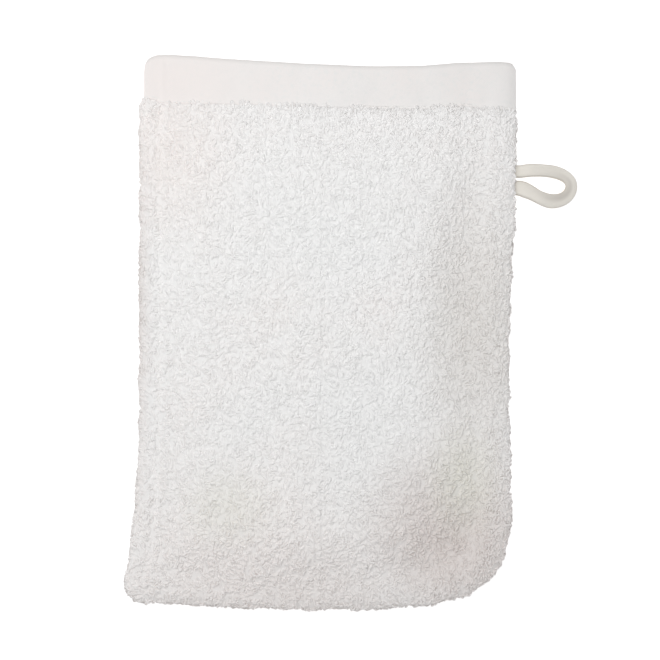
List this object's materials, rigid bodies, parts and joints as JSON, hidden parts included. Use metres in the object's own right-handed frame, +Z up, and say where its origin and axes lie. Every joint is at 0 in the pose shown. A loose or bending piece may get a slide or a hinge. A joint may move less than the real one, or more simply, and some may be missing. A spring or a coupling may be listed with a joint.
{
  "type": "wash mitt",
  "caption": "Flat terry wash mitt: a pocket open at one end, with a flat-woven hem round its mouth, one large rounded corner and a hanging loop of tape on one long side.",
  "frame": {"origin": "on the surface that the mitt lies on, under the middle of its outline without the hanging loop", "axes": "+Y along the mitt towards its open mouth, +X across it towards the hanging loop, +Z up from the back to the front"},
  "size_m": [0.1797, 0.2209, 0.012],
  "materials": {
    "terry": "white cotton terry, looped on both faces",
    "flat_weave": "white flat-woven cotton hem",
    "white_thread": "white sewing thread",
    "cream_tape": "cream cotton tape"
  },
  "bodies": {
    "mitt": {"back_panel": "terry", "back_hem": "flat_weave", "back_hem_stitches": "white_thread", "back_seam_allowance": "terry", "front_seam_allowance": "terry", "seam_thread": "white_thread", "loop_tails": "cream_tape"},
    "front": {"front_panel": "terry", "front_hem": "flat_weave", "front_hem_stitches": "white_thread"},
    "loop": {"hanging_loop": "cream_tape"}
  },
  "joints": [
    {"name": "mouth_open", "type": "hinge", "parent": "mitt", "child": "front", "pos_m": [0, -0.1105, 0.006], "axis": [1, 0, 0], "range_deg": [0, 8]},
    {"name": "loop_fold", "type": "hinge", "parent": "mitt", "child": "loop", "pos_m": [0.0796, 0.0605, 0.006], "axis": [0, -1, 0], "range_deg": [-90, 90]}
  ]
}
